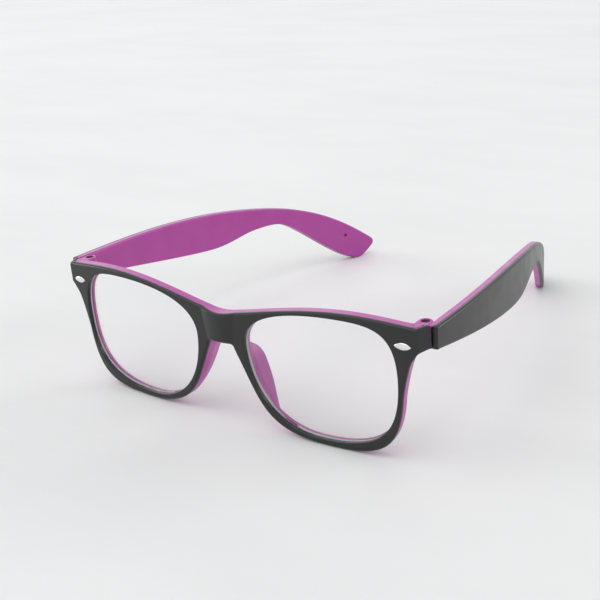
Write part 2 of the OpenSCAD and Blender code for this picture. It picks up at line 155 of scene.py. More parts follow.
def inside(points, loop):
    """Which points lie inside a loop."""
    x, y = points[:, 0][:, None], points[:, 1][:, None]
    ax, ay = loop[:, 0][None], loop[:, 1][None]
    bx, by = np.roll(loop[:, 0], -1)[None], np.roll(loop[:, 1], -1)[None]
    crosses = ((ay > y) != (by > y)) & (x < (bx - ax) * (y - ay) / (by - ay + 1e-12) + ax)
    return crosses.sum(1) % 2 == 1


def fill(loops, step, extra=None):
    """Small triangles between an outer loop and its holes: points, triangles. The extra
    points lie where the surface needs finer ones, such as beside a crease."""
    row_step, edge_gap, beside_extra, extra_gap = 0.87 * step, 0.55 * step, 0.4 * step, 0.3
    batch = 400
    edge_points = np.vstack(loops)
    edges, start = [], 0
    for loop in loops:
        count = len(loop)
        edges += [(start + i, start + (i + 1) % count) for i in range(count)]
        start += count
    low, high = loops[0].min(0), loops[0].max(0)
    rows = np.arange(low[1] + step / 2, high[1], row_step)
    grid = [(x + (k % 2) * step / 2, y) for k, y in enumerate(rows)
            for x in np.arange(low[0] + step / 2, high[0], step)]
    grid = np.array(grid)
    keep = inside(grid, loops[0])
    for loop in loops[1:]:
        keep &= ~inside(grid, loop)
    grid = grid[keep]
    clear = np.ones(len(grid), bool)
    for k in range(0, len(grid), batch):
        gaps = np.linalg.norm(grid[k:k + batch, None] - edge_points[None], axis=2).min(1)
        clear[k:k + batch] = gaps > edge_gap
    grid = grid[clear]
    if extra is not None:
        keep = inside(extra, loops[0])
        gaps = np.linalg.norm(extra[:, None] - edge_points[None], axis=2).min(1)
        extra = extra[keep & (gaps > extra_gap)]
        gaps = np.linalg.norm(grid[:, None] - extra[None], axis=2).min(1)
        grid = np.vstack([grid[gaps > beside_extra], extra])
    points = np.vstack([edge_points, grid])
    made = delaunay_2d_cdt([Vector(p) for p in points], edges, [], 0, 1e-7)
    back = {i: source[0] for i, source in enumerate(made[3]) if source}
    triangles = [[back[i] for i in face] for face in made[2] if all(i in back for i in face)]
    triangles = np.array([t for t in triangles if len(set(t)) == 3])
    centres = points[triangles].mean(1)
    keep = inside(centres, loops[0])
    for loop in loops[1:]:
        keep &= ~inside(centres, loop)
    return points, triangles[keep], len(edge_points)


def plate_parts(loops, edges, place, step=1.5, extra=None):
    """Vertices and faces of a plate. edges holds, for each loop, its rings from the
    front face to the back face, each as (inset, depth); an inset may be an array."""
    vertices, faces, rims, start = [], [], [], 0
    for number, (loop, rings) in enumerate(zip(loops, edges)):
        hole = number > 0
        normal = inward(loop, hole)
        count = len(loop)
        flip = (area(loop) > 0) == hole
        rims.append((start, [loop + normal * np.reshape(inset, (-1, 1)) for inset, _ in rings]))
        for (inset, depth), line in zip(rings, rims[-1][1]):
            depth = np.broadcast_to(depth, count)
            vertices.append(np.column_stack([line, depth]))
        for k in range(len(rings) - 1):
            a, b = start + k * count, start + (k + 1) * count
            for i in range(count):
                j = (i + 1) % count
                quad = (a + i, b + i, b + j, a + j)
                faces.append(quad[::-1] if flip else quad)
        start += count * len(rings)
    for end in (0, -1):
        lines = [lines[end] for _, lines in rims]
        depths = [rings[end][1] for rings in edges]
        points, triangles, rim_count = fill(lines, step, extra)
        index = []
        for (first, all_lines), line in zip(rims, lines):
            offset = first + (len(all_lines) - 1) * len(line) if end else first
            index += list(range(offset, offset + len(line)))
        index += list(range(start, start + len(points) - rim_count))
        depth = float(np.mean(depths[0]))
        vertices.append(np.column_stack([points[rim_count:],
                                         np.full(len(points) - rim_count, depth)]))
        start += len(points) - rim_count
        for a, b, c in triangles:
            p, q, r = points[a], points[b], points[c]
            up = (q[0] - p[0]) * (r[1] - p[1]) - (q[1] - p[1]) * (r[0] - p[0]) > 0
            tri = (index[a], index[b], index[c])
            faces.append(tri if up != bool(end) else tri[::-1])
    flat = np.vstack(vertices)
    return place(flat[:, 0], flat[:, 1], flat[:, 2]), faces


crisp_angle = math.radians(34)


def smooth_but_sharp(mesh, data):
    """Faces outward and smooth, with real edges kept crisp, written to the mesh data."""
    bmesh.ops.recalc_face_normals(mesh, faces=mesh.faces)
    for face in mesh.faces:
        face.smooth = True
    for edge in mesh.edges:
        edge.smooth = not edge.is_manifold or edge.calc_face_angle() < crisp_angle
    mesh.to_mesh(data)
    mesh.free()


def on_side(part, sign):
    """A part of the right side, or its mirror image where sign is -1."""
    return part[0] * [sign, 1, 1], part[1]


def to_object(name, parts, material, body, nodes):
    """One finished object from several closed shells, riding on its body."""
    mesh = bmesh.new()
    for vertices, faces in parts:
        made = [mesh.verts.new(v) for v in to_frame(vertices)]
        for face in faces:
            mesh.faces.new([made[i] for i in face])
    data = bpy.data.meshes.new(name)
    smooth_but_sharp(mesh, data)
    data.materials.append(material)
    piece = bpy.data.objects.new(name, data)
    bpy.context.scene.collection.objects.link(piece)
    finish_piece(piece, body, nodes)


def finish_piece(piece, body, nodes):
    weighted = piece.modifiers.new("even_gloss", "WEIGHTED_NORMAL")
    weighted.mode = "FACE_AREA"
    weighted.weight = 60
    weighted.keep_sharp = True
    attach(piece, body)
    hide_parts(*nodes)
    print(piece.name, len(piece.data.polygons), "faces on", body)


def round_edge(radius, near, far, steps=5, hold=0.22):
    """Rings of an edge that is rounded at depth near and square at depth far. near may
    be the deeper one: the rounding always lies at near."""
    way = 1 if far > near else -1
    turns = np.linspace(0, math.pi / 2, steps + 1)
    rings = [(radius + hold, near)]
    rings += [(radius * (1 - math.sin(t)), near + way * float(np.mean(radius)) * (1 - math.cos(t)))
              for t in turns]
    rings.append((0 * radius, far))
    return rings if way > 0 else rings[::-1]


# %% [markdown]
# The finishes come before the pieces that use them. A finish is a small tree of nodes, so
# the first helper adds a node and sets or links its inputs by name. The black plastic is
# moulded and semi-gloss: nearly flat in colour, with a faint grain and a little dust that
# dulls the gloss in patches. Everything reads Object coordinates, so the pattern stays
# fixed to the piece, and constant values sit on the shader itself. The roughness stays
# above 0.27. A pattern that crossed that value came out of the noise filter as specks.

# %% Black plastic
def add_node(tree, kind, inputs=None, **settings):
    """A new node, with its inputs set to values or linked to other nodes' sockets."""
    node = tree.nodes.new(kind)
    for setting, value in settings.items():
        setattr(node, setting, value)
    for label, value in (inputs or {}).items():
        if isinstance(value, bpy.types.NodeSocket):
            tree.links.new(value, node.inputs[label])
        else:
            node.inputs[label].default_value = value
    return node


def new_finish(name):
    """A new material, its tree and its shader."""
    finish = bpy.data.materials.new(name)
    finish.use_nodes = True
    return finish, finish.node_tree, finish.node_tree.nodes["Principled BSDF"]


def object_place(tree):
    return add_node(tree, "ShaderNodeTexCoord").outputs["Object"]


def noise(tree, place, scale, detail=3.0, roughness=0.5):
    inputs = {"Vector": place, "Scale": scale, "Detail": detail, "Roughness": roughness}
    return add_node(tree, "ShaderNodeTexNoise", inputs).outputs["Fac"]


def ramp(tree, source, stops):
    """A colour that runs between two stops, each a position and a colour."""
    node = add_node(tree, "ShaderNodeValToRGB", {"Fac": source})
    for element, (position, colour) in zip(node.color_ramp.elements, stops):
        element.position = position
        element.color = (*colour, 1)
    return node.outputs["Color"]


def spread(tree, source, low, high, to_low, to_high):
    """A value from to_low to to_high, while its source runs from low to high."""
    inputs = {"Value": source, "From Min": low, "From Max": high,
              "To Min": to_low, "To Max": to_high}
    return add_node(tree, "ShaderNodeMapRange", inputs).outputs["Result"]


def stretched(tree, place, scale, turn=(0, 0, 0)):
    inputs = {"Vector": place, "Scale": scale, "Rotation": turn}
    return add_node(tree, "ShaderNodeMapping", inputs).outputs["Vector"]


def colour_and_gloss(tree, shader, colour, roughness):
    tree.links.new(colour, shader.inputs["Base Color"])
    tree.links.new(roughness, shader.inputs["Roughness"])


def add_bump(tree, shader, height, distance, strength):
    inputs = {"Height": height, "Distance": distance, "Strength": strength}
    bump = add_node(tree, "ShaderNodeBump", inputs)
    tree.links.new(bump.outputs["Normal"], shader.inputs["Normal"])


cloud_scale, dust_scale, grain_scale = 90, 150, 1400
grain_depth, grain_strength = 0.000004, 0.12


def moulded_plastic(name, colour_low, colour_high, rough):
    finish, tree, shader = new_finish(name)
    place = object_place(tree)
    cloud = noise(tree, place, cloud_scale, 4)
    dust = noise(tree, place, dust_scale, 2)
    colour_and_gloss(tree, shader, ramp(tree, cloud, [(0.3, colour_low), (0.7, colour_high)]),
                     spread(tree, dust, 0.3, 0.7, *rough))
    add_bump(tree, shader, noise(tree, place, grain_scale, 2), grain_depth, grain_strength)
    return finish


black_plastic = moulded_plastic("black_plastic", (0.010, 0.010, 0.011), (0.014, 0.014, 0.015),
                                (0.28, 0.35))
print("black plastic:", len(black_plastic.node_tree.nodes), "nodes")

# %% [markdown]
# The purple layer is the same kind of plastic in a strong colour. A trace of light
# passes under its surface, which keeps thin edges lively.

# %% Purple plastic
purple_plastic = moulded_plastic("purple_plastic", (0.425, 0.052, 0.325), (0.460, 0.064, 0.352),
                                 (0.28, 0.36))
purple_shader = purple_plastic.node_tree.nodes["Principled BSDF"]
purple_shader.inputs["Subsurface Weight"].default_value = 0.12
purple_shader.inputs["Subsurface Radius"].default_value = (0.0016, 0.0005, 0.0012)
purple_shader.inputs["Subsurface Scale"].default_value = 1.0
print("purple plastic:", len(purple_plastic.node_tree.nodes), "nodes")

# %% [markdown]
# The lenses are clear plastic with no power. They show as a faint gloss, a slight loss
# of light and a soft smear here and there, so the glass shader keeps its constant
# values and only its roughness carries a little dust. Their ground edge is matt and
# pale, and its pale colour also paints the highlight of the lit groove wall.

# %% Clear lens and its ground edge, with a painted highlight
clear_lens, tree, shader = new_finish("clear_lens")
shader.inputs["Base Color"].default_value = (0.985, 0.99, 0.99, 1)
shader.inputs["Transmission Weight"].default_value = 1.0
shader.inputs["IOR"].default_value = 1.5
smear = noise(tree, stretched(tree, object_place(tree), (1, 1, 2.5), (0, 0.7, 0)), 55, 4)
tree.links.new(spread(tree, smear, 0.5, 0.8, 0.0, 0.05), shader.inputs["Roughness"])
print("clear lens: IOR %.2f" % shader.inputs["IOR"].default_value)

# The edge colour is partly its ground matt finish and partly a painted highlight of the lit groove
# wall behind the lens.
ground_edge_and_painted_highlight, tree, shader = new_finish("ground_edge_and_painted_highlight")
grind = noise(tree, object_place(tree), 1600, 3)
edge_tone_and_highlight = ramp(tree, grind, [(0.3, (0.80, 0.79, 0.81)), (0.7, (0.90, 0.89, 0.91))])
colour_and_gloss(tree, shader, edge_tone_and_highlight, spread(tree, grind, 0.3, 0.7, 0.5, 0.7))

# %% [markdown]
# The rivet plates are bright chromed metal. The hinge screws are steel painted nearly
# black with a slight purple tint: painted shade of the seat they lie in, and a painted
# reflection of the purple round them. Both get a fine brushed bump.

# %% Metals
tone_scale, brush_scale = 500, 900
brush_depth, brush_strength = 0.000006, 0.3


def metal(name, dark, light, rough, brush):
    """A metal whose brush marks run across the axis that brush stretches."""
    finish, tree, shader = new_finish(name)
    shader.inputs["Metallic"].default_value = 1.0
    place = object_place(tree)
    tone = noise(tree, place, tone_scale, 3)
    hair = noise(tree, stretched(tree, place, brush), brush_scale, 2)
    colour_and_gloss(tree, shader, ramp(tree, tone, [(0.35, dark), (0.65, light)]),
                     spread(tree, hair, 0.3, 0.7, *rough))
    add_bump(tree, shader, hair, brush_depth, brush_strength)
    return finish


rivet_metal = metal("rivet_metal", (0.80, 0.79, 0.77), (0.90, 0.89, 0.87), (0.10, 0.20), (1, 1, 9))
# Screw colour is painted shade: steel made nearly black, with a slight purple tint as a painted
# reflection of the purple seat.
screw_metal = metal("screw_metal", (0.06, 0.05, 0.06), (0.11, 0.09, 0.11), (0.3, 0.45), (9, 1, 1))
print("metals:", rivet_metal.name, screw_metal.name)

# %% [markdown]
# The drawing of the front. The lens opening has four outermost points and one curve
# between each pair. The outline starts at the middle of the bridge, runs over the brow
# to the corner, drops to the notch under the end piece and goes round the foot of the
# rim to the nose. The left half mirrors the right one.

# %% The front's drawing
lens_in, lens_w, lens_h, lens_low = 9.45, 52.6, 40.9, 2.0
lens_out, lens_top = lens_in + lens_w, lens_low + lens_h
rim_over, bridge_down, bridge_under = 1.9, 6.5, 16.6
brow_z = lens_top + rim_over
bridge_top_z, bridge_low_z = brow_z - bridge_down, brow_z - bridge_under
end_w, end_down, end_under = 6.6, 1.1, 9.1
end_x, end_top_z, end_low_z = lens_out + end_w, brow_z - end_down, brow_z - end_under
end_flare, end_depth = 2.2, 4.6
black_t, front_t, bond = 1.3, 4.4, 0.02


def up(share):
    return np.array([0, share * lens_h])


def across(share):
    return np.array([share * lens_w, 0])


nasal = np.array([lens_in, lens_low + 0.66 * lens_h])
top = np.array([lens_in + 0.628 * lens_w, lens_top])
outer = np.array([lens_out, lens_low + 0.585 * lens_h])
low = np.array([lens_in + 0.494 * lens_w, lens_low])
lens_raw = np.vstack([
    curve(nasal, nasal + up(0.28), top - across(0.264), top),
    curve(top, top + across(0.24), outer + up(0.388), outer),
    curve(outer, outer - up(0.377), low + across(0.4), low),
    curve(low, low - across(0.396), nasal - up(0.24), nasal),
])

bridge_top = np.array([0, bridge_top_z])
brow = np.array([lens_in + 0.73 * lens_w, brow_z])
corner = np.array([end_x, end_top_z])
butt_top = np.array([end_x + end_flare, end_top_z])
butt_low = np.array([end_x + end_flare, end_low_z + 0.9])
corner_low = np.array([end_x, end_low_z + 0.3])
notch = np.array([end_x - 2.2, end_low_z - 2.7])
side = np.array([lens_out + 1.1, lens_low + 0.44 * lens_h])
foot = np.array([low[0] + 2, 0])
nose = np.array([lens_in - 3.8, bridge_low_z - 2.6])
arch = np.array([nose[0] - 1.9, bridge_low_z])
nose_way, side_way = direction(-0.447, 0.894), direction(0.09, 1)
foot_pull, nose_pull = (23.5, 0), 16.8
notch_way, corner_way = direction(0.55, 0.83), direction(1, -0.05)
half_outline = np.vstack([
    curve(bridge_top, bridge_top + (7.9, 0), brow - (21, 0), brow),
    curve(brow, brow + (9, 0), corner - 8.9 * corner_way, corner),
    [corner, butt_top, butt_low, corner_low],
    curve(notch, notch - 2.5 * notch_way, side + 1.5 * side_way, side),
    curve(side, side - 18 * side_way, foot + (17, 0), foot),
    curve(foot, foot - foot_pull, nose - nose_pull * nose_way, nose),
    curve(nose, nose + 1.6 * nose_way, arch + (1.3, 0), arch),
    [arch],
])
outline_raw = np.vstack([half_outline, (half_outline * [-1, 1])[::-1]])
print("front outline %.1f x %.1f mm" % tuple(np.ptp(outline_raw, axis=0)))

# %% [markdown]
# Seen from above, the front is straight at the bridge, then wraps gently on each side and
# turns at a corner into a short side wall that reaches back to the temple. The plan is
# kept as points along that path, so that a plate drawn flat can be laid round it. The
# direction in which depth is measured turns more slowly than the path itself, so the
# inner side of the corner doesn't fold over. The bridge adds a round bulge in front of
# that path, a part of a leaning cylinder, which meets the rims in two creases.

# %% The plan of the front
wrap_r, wrap_start, flat_x = 900.0, math.radians(1.5), 4.5
plan_step = 0.05
front_run = (math.asin((end_x - flat_x) / wrap_r + math.sin(wrap_start)) - wrap_start) * wrap_r
corner_u = flat_x + front_run
end_u = corner_u + math.hypot(end_flare, end_depth)
plan_u = np.arange(-end_u - 6, end_u + 6 + plan_step / 2, plan_step)
path = np.abs(plan_u)
heading = np.where(path < flat_x, 0.0, wrap_start + (path - flat_x) / wrap_r)
heading = np.where(path > corner_u, math.atan2(end_depth, end_flare), heading) * np.sign(plan_u)


def blur(values, width):
    weight = soft_window(width, plan_step)
    half = len(weight) // 2
    padded = np.r_[np.full(half, values[0]), values, np.full(half, values[-1])]
    return np.convolve(padded, weight, "valid")


way = blur(heading, 0.16)
inward_way = blur(heading, 1.3)
plan_x = np.cumsum(np.cos(way)) * plan_step
plan_y = np.cumsum(np.sin(way)) * plan_step
middle = len(plan_u) // 2
plan_x -= plan_x[middle]
plan_y -= plan_y[middle]

bulge_out, bulge_w, bulge_lean = 1.2, 12.4, math.radians(2.6)
bulge_r = ((bulge_w / 2) ** 2 + bulge_out ** 2) / (2 * bulge_out)
crease_soft = 0.06


def bulge_height(z):
    """How far the middle of the bulge stands out at height z."""
    return bulge_out - (bridge_top_z - z) * math.tan(bulge_lean)


def bulge(u, z):
    """How far the round front of the bridge stands out of the path, softly joined."""
    out = bulge_height(z)
    near = np.clip(np.abs(u), 0, 0.9 * bulge_r)
    proud = out - (bulge_r - np.sqrt(bulge_r ** 2 - near ** 2)) + np.interp(u, plan_u, plan_y)
    return 0.5 * (proud + np.sqrt(proud ** 2 + crease_soft ** 2))


def on_front(u, z, depth):
    """A point of the front at path position u, height z and depth below its face. The
    bulge fades out through the purple layer, whose back is flat."""
    turn = np.interp(u, plan_u, inward_way)
    x = np.interp(u, plan_u, plan_x) - depth * np.sin(turn)
    y = np.interp(u, plan_u, plan_y) + depth * np.cos(turn)
    y = y - bulge(u, z) * np.clip((front_t - depth) / (front_t - black_t), 0, 1)
    return np.column_stack([x, y, z])


def crease_grid():
    """Points that follow the bulge with its two creases and the two corners, row by row."""
    points = []
    for z in np.arange(end_low_z - 1, end_top_z + 1, 0.6):
        for u in corner_u + np.array([-0.6, -0.2, 0, 0.2, 0.6]):
            points += [(u, z), (-u, z)]
    for z in np.arange(bridge_low_z, bridge_top_z + 2, 0.5):
        crease = math.sqrt(2 * bulge_r * bulge_height(z))
        inner = np.arange(0, crease - 0.5, 0.6)
        for u in (*inner, *(crease + np.array([-0.3, -0.1, 0.1, 0.3, 0.9]))):
            points += [(u, z), (-u, z)] if u > 0 else [(0.0, z)]
    return np.array(points)


def along_path(loop):
    """A loop drawn in X and Z, moved onto the path."""
    return np.column_stack([np.interp(loop[:, 0], plan_x, plan_u), loop[:, 1]])


print("corner at %.2f, %.2f mm" % (np.interp(corner_u, plan_u, plan_x),
                                   np.interp(corner_u, plan_u, plan_y)))

# %% [markdown]
# The black front is one plate round that path, with the two lens openings cut in it.
# Its outer edge is well rounded, the edge at each lens less, and the ends that meet the
# temples are nearly square, as the photo shows.

# %% The black front
corner_soft, outline_step, opening_step = 0.3, 0.45, 0.6
outline = soften(along_path(outline_raw), outline_step, corner_soft)
openings = [soften(along_path(lens_raw), opening_step, corner_soft),
            soften(along_path((lens_raw * [-1, 1])[::-1]), opening_step, corner_soft)]
crease_points = crease_grid()
butt_blend = 1.2


def edge_radius(loop, radius, at_butt):
    """An edge radius for each point: small where the front meets a temple."""
    near_end = np.clip((end_u - np.abs(loop[:, 0])) / butt_blend, 0, 1)
    return at_butt + (radius - at_butt) * near_end


outer_edge_r, butt_edge_r, lens_edge_r = 0.9, 0.08, 0.25
front_rings = round_edge(edge_radius(outline, outer_edge_r, butt_edge_r), 0, black_t, 7)
lens_rings = round_edge(lens_edge_r, 0, black_t)
black_front = plate_parts([outline, *openings], [front_rings, lens_rings, lens_rings], on_front,
                          extra=crease_points)
to_object("front_black", [black_front], black_plastic, "front", ["front_face"])

# %% [markdown]
# The purple back follows the same outline behind the black layer, but stops before the
# turned corner. The seat of each lens is a step cut from its front side. Its rear edges
# are rounded more strongly, because they are what touches the face.

# %% The purple back
back_end_x = end_x - 1.7
back_outline = outline_raw.copy()
back_outline[:, 0] = np.clip(back_outline[:, 0], -back_end_x, back_end_x)
back_outline = soften(along_path(back_outline), outline_step, corner_soft)
lens_bite, seat_low = 0.9, black_t + 1.95
rear_edge_r, seat_edge_r = 0.95, 0.4
pad_zone_low, pad_zone_top, pad_zone_u = 3.5, 26.4, 21
nose_zone_u, nose_zone_top = 22, 27.5
pad_blend, least_share = 1.2, 0.03


def back_radius(loop):
    """The rear edge radius for each point: none where a nose pad grows out of the rim."""
    u, z = np.abs(loop[:, 0]), loop[:, 1]
    past_pad = np.maximum.reduce([pad_zone_low - z, z - pad_zone_top, u - pad_zone_u])
    on_nose = (u < nose_zone_u) & (z < nose_zone_top)
    return rear_edge_r * np.where(on_nose, np.clip(past_pad / pad_blend, least_share, 1), 1.0)


back_rings = round_edge(back_radius(back_outline), front_t, black_t + bond)
seat_rings = [(lens_bite, black_t + bond), (lens_bite, seat_low), (0.0, seat_low),
              *round_edge(seat_edge_r, front_t, seat_low + 0.1)]
back_plate = plate_parts([back_outline, *openings], [back_rings, seat_rings, seat_rings], on_front,
                         extra=crease_points)
print("back plate:", len(back_plate[1]), "faces")

# %% [markdown]
# Behind each corner the back is a solid block that fills the turned wall and carries
# two hinge lugs. Seen from above, the block is a small polygon and a lug is a slot
# shape with a bore. Both are plates again, laid flat and stacked along Z. The upper lug
# also has a wider seat for the screw's head.

# %% End blocks and hinge lugs
knuckle_r, bore_r, head_r, head_h = 2.2, 0.75, 1.35, 0.8
lug_top, lug_low = end_top_z - 0.5, end_top_z - 6.8
knuckle_low, knuckle_top = 38.9, 41.2
knuckle_gap, head_chamfer, wall_t = 0.12, 0.12, 1.5
block_edge_r, lug_edge_r = 0.45, 0.3
block_start, block_reach, block_gap, block_clear, block_lift = 4, 2.4, 0.3, 0.1, 0.35
lug_root = 1.5
butt_y = float(np.interp(end_u, plan_u, plan_y))
butt_x = float(np.interp(end_u, plan_u, plan_x))


def stacked(z_top):
    """Lays a plate flat: its drawing is X and Y, its depth runs down from z_top."""
    return lambda x, y, depth: np.column_stack([x, y, z_top - depth])


def wall_x(y):
    """The inner side of the turned wall at y."""
    return butt_x - wall_t - (butt_y - y) * end_flare / end_depth


def end_block():
    """The block behind a corner, set in a little from the wall and from the butt."""
    near_y = float(np.interp(corner_u - block_start, plan_u, plan_y)) + black_t + block_clear
    far_y = butt_y - block_gap
    block_x = hinge_x - block_reach
    side_y = near_y + block_gap
    loop = soften(np.array([(block_x, near_y), (wall_x(side_y), side_y),
                            (wall_x(far_y), far_y), (block_x, far_y)]), 0.4, 0.3)
    height = end_top_z - end_low_z - block_lift
    rings = (round_edge(block_edge_r, 0, height / 2)
             + round_edge(block_edge_r, height, height / 2 + 0.1))
    return plate_parts([loop], [rings], stacked(end_top_z - bond), 0.8)


def slot_loop(y0, y1):
    turn = np.linspace(0, math.pi, 19)
    cap = np.stack([hinge_x + knuckle_r * np.cos(turn), y1 + knuckle_r * np.sin(turn)], 1)
    return soften(np.vstack([[(hinge_x - knuckle_r, y0), (hinge_x + knuckle_r, y0)], cap]),
                  0.4, 0.15)


bore = ring(hinge_x, hinge_y, bore_r, bore_r, 32)


def lug(z_top, z_low, headed):
    """A hinge lug; the headed one has the wider seat of the screw's head."""
    height = z_top - z_low
    rings = (round_edge(lug_edge_r, 0, height / 2)
             + round_edge(lug_edge_r, height, height / 2 + 0.05))
    bore_rings = [(0.0, 0), (0.0, height)]
    if headed:
        seat_in = head_r - bore_r
        bore_rings = [(seat_in + head_chamfer, 0), (seat_in, head_chamfer), (seat_in, head_h),
                      (0.0, head_h), (0.0, height)]
    return plate_parts([slot_loop(butt_y - lug_root, hinge_y), bore], [rings, bore_rings],
                       stacked(z_top), 0.6)


right_end = [end_block(), lug(lug_top, knuckle_top + knuckle_gap, True),
             lug(knuckle_low - knuckle_gap, lug_low, False)]
print("end parts:", [len(faces) for _, faces in right_end], "faces")

# %% [markdown]
# The nose pads are moulded onto the back and continue the nose edge of the rim towards
# the rear. Seen from the side, a pad rises steeply below the bridge, is fullest near its
# top and runs out along the foot of the rim. It is lofted from one cross-section to the
# next along that profile. A cross-section has a flush nose side, a round crest, and a
# soft foot on the lens side, and it leans outwards a little.

# %% Nose pads
pad_h, pad_out, pad_t, pad_root = 25.3, 5.2, 2.0, 1.2
pad_splay = math.radians(11)
pad_top_z, pad_mid_x = nose[1] + 1.4, nose[0] + 5.3
pad_low_z = pad_top_z - pad_h - pad_root
pad_peak = np.array([pad_out, pad_top_z - 0.25 * pad_h])
pad_head, pad_tail = np.array([-pad_root, pad_top_z]), np.array([-pad_root, pad_low_z])
pad_profile = np.vstack([
    curve(pad_head, pad_head + (2.8, 0.2), pad_peak + (0, 0.17 * pad_h), pad_peak, 18),
    curve(pad_peak, pad_peak - (0, 0.238 * pad_h), pad_tail + (1.1 * pad_out, 0.32 * pad_h),
          pad_tail, 24),
])
nose_edge = np.vstack([curve(foot, foot - foot_pull, nose - nose_pull * nose_way, nose, 60),
                       [nose + 1.5 * nose_way]])
edge_way = np.gradient(nose_edge, axis=0)
edge_way /= np.linalg.norm(edge_way, axis=1)[:, None]
edge_in = np.stack([edge_way[:, 1], -edge_way[:, 0]], 1)


crest_share, waist_share, root_out, rim_margin = 0.8, 0.4, -1.0, 0.12
crest_points, pad_foot_z = 9, 1.4


def pad_section(out, z):
    """One cross-section: points across the pad, each with its distance out of the rim.
    The root stays within the rim, so that it never shows inside the lens."""
    x = float(np.interp(z, nose_edge[:, 1], nose_edge[:, 0]))
    half = pad_t / 2
    rise = out - (x - pad_mid_x) * math.sin(pad_splay)
    crest = max(rise - crest_share * half, -1.3)
    waist = waist_share * max(rise, 0)
    section = [(0.05, root_out), (-0.02, -0.5), (-0.02, waist)]
    for turn in np.linspace(math.pi, 0, crest_points):
        section.append((half + half * math.cos(turn), crest + crest_share * half * math.sin(turn)))
    section += [(pad_t + 0.05, waist), (pad_t + 0.5, 0.12), (pad_t + 0.9, -0.3),
                (pad_t + 0.6, root_out)]
    rim_w = np.linalg.norm(lens_raw - (x, z), axis=1).min() - rim_margin
    normal = [float(np.interp(z, nose_edge[:, 1], edge_in[:, k])) for k in (0, 1)]
    return [(x + normal[0] * min(a, rim_w) + math.tan(pad_splay) * max(o, 0), front_t + o,
             z + normal[1] * min(a, rim_w)) for a, o in section]


def nose_pad():
    rows = [pad_section(out, z) for out, z in pad_profile if z > pad_foot_z]
    vertices, count = [point for row in rows for point in row], len(rows[0])
    faces = []
    for k in range(len(rows) - 1):
        for i in range(count):
            j = (i + 1) % count
            faces.append((k * count + i, k * count + j, (k + 1) * count + j, (k + 1) * count + i))
    faces.append(tuple(range(count)))
    faces.append(tuple((len(rows) - 1) * count + i for i in reversed(range(count))))
    return np.array(vertices), faces


right_side = [*right_end, nose_pad()]
left_side = [on_side(part, -1) for part in right_side]
to_object("back_purple", [back_plate, *right_side, *left_side], purple_plastic, "front",
          ["frame_back"])

# %% [markdown]
# A lens follows a rule, so Geometry Nodes bend it: a flat blank with a V-shaped edge is
# pushed back onto the wrap's circle by a formula. The tree has named inputs for the
# radius and the centre, so another wrap is one number away. The V sits in the groove of
# the rim. On a real lens it is ground matt, and here its pale colour also paints the
# highlight of the lit groove wall. Together they make the pale line just inside each rim.

# %% Geometry Nodes helpers
def new_tree(name, sizes):
    """A tree that takes a geometry, these sizes and a material, and its input sockets."""
    tree = bpy.data.node_groups.new(name, "GeometryNodeTree")
    tree.interface.new_socket("Geometry", in_out="OUTPUT", socket_type="NodeSocketGeometry")
    tree.interface.new_socket("Geometry", in_out="INPUT", socket_type="NodeSocketGeometry")
    for label, value in sizes.items():
        socket = tree.interface.new_socket(label, in_out="INPUT", socket_type="NodeSocketFloat")
        socket.default_value = value
    tree.interface.new_socket("Material", in_out="INPUT", socket_type="NodeSocketMaterial")
    return tree, add_node(tree, "NodeGroupInput").outputs


def close_tree(tree, geometry, given):
    """The last two steps: copies become real, and all gets its material."""
    real = add_node(tree, "GeometryNodeRealizeInstances", {"Geometry": geometry})
    dressed = add_node(tree, "GeometryNodeSetMaterial",
                       {"Geometry": real.outputs[0], "Material": given["Material"]})
    add_node(tree, "NodeGroupOutput", {0: dressed.outputs[0]})


def calculate(tree, operation, *values):
    inputs = dict(enumerate(values))
    return add_node(tree, "ShaderNodeMath", inputs, operation=operation).outputs[0]


def point_place(tree):
    """The X, Y and Z of each point."""
    position = add_node(tree, "GeometryNodeInputPosition").outputs[0]
    return add_node(tree, "ShaderNodeSeparateXYZ", {0: position}).outputs


def joined(tree, x, y, z):
    return add_node(tree, "ShaderNodeCombineXYZ", {"X": x, "Y": y, "Z": z}).outputs[0]


def moved_to(tree, geometry, place):
    inputs = {"Geometry": geometry, "Position": place}
    return add_node(tree, "GeometryNodeSetPosition", inputs).outputs[0]


def apply_tree(name, points, faces, tree, values, attributes=None):
    """Runs a tree on a small base mesh and keeps the plain result."""
    data = bpy.data.meshes.new(name)
    data.from_pydata([tuple(p) for p in points], [], faces)
    for label, per_point in (attributes or {}).items():
        data.attributes.new(label, "FLOAT", "POINT").data.foreach_set("value", per_point)
    piece = bpy.data.objects.new(name, data)
    bpy.context.scene.collection.objects.link(piece)
    modifier = piece.modifiers.new("tree", "NODES")
    modifier.node_group = tree
    for item in tree.interface.items_tree:
        if item.in_out == "INPUT" and item.name in values:
            modifier[item.identifier] = values[item.name]
    graph = bpy.context.evaluated_depsgraph_get()
    plain = bpy.data.meshes.new_from_object(piece.evaluated_get(graph))
    piece.modifiers.clear()
    piece.data = plain
    plain.name = name
    print(name, "comes out of its tree with", len(plain.polygons), "faces")
    return piece


# %% The lens tree
lens_tree, given = new_tree("bend_lens", {"Wrap radius": 0.9, "Centre X": 0.0, "Centre Y": 0.0})
calc = partial(calculate, lens_tree)
flat = point_place(lens_tree)
from_centre = calc("SUBTRACT", flat["X"], given["Centre X"])
radius_squared = calc("MULTIPLY", given["Wrap radius"], given["Wrap radius"])
drop = calc("SQRT", calc("SUBTRACT", radius_squared, calc("MULTIPLY", from_centre, from_centre)))
bent_y = calc("ADD", calc("SUBTRACT", given["Centre Y"], drop), flat["Y"])
bent = moved_to(lens_tree, given["Geometry"], joined(lens_tree, flat["X"], bent_y, flat["Z"]))
close_tree(lens_tree, bent, given)
print("lens tree:", len(lens_tree.nodes), "nodes")

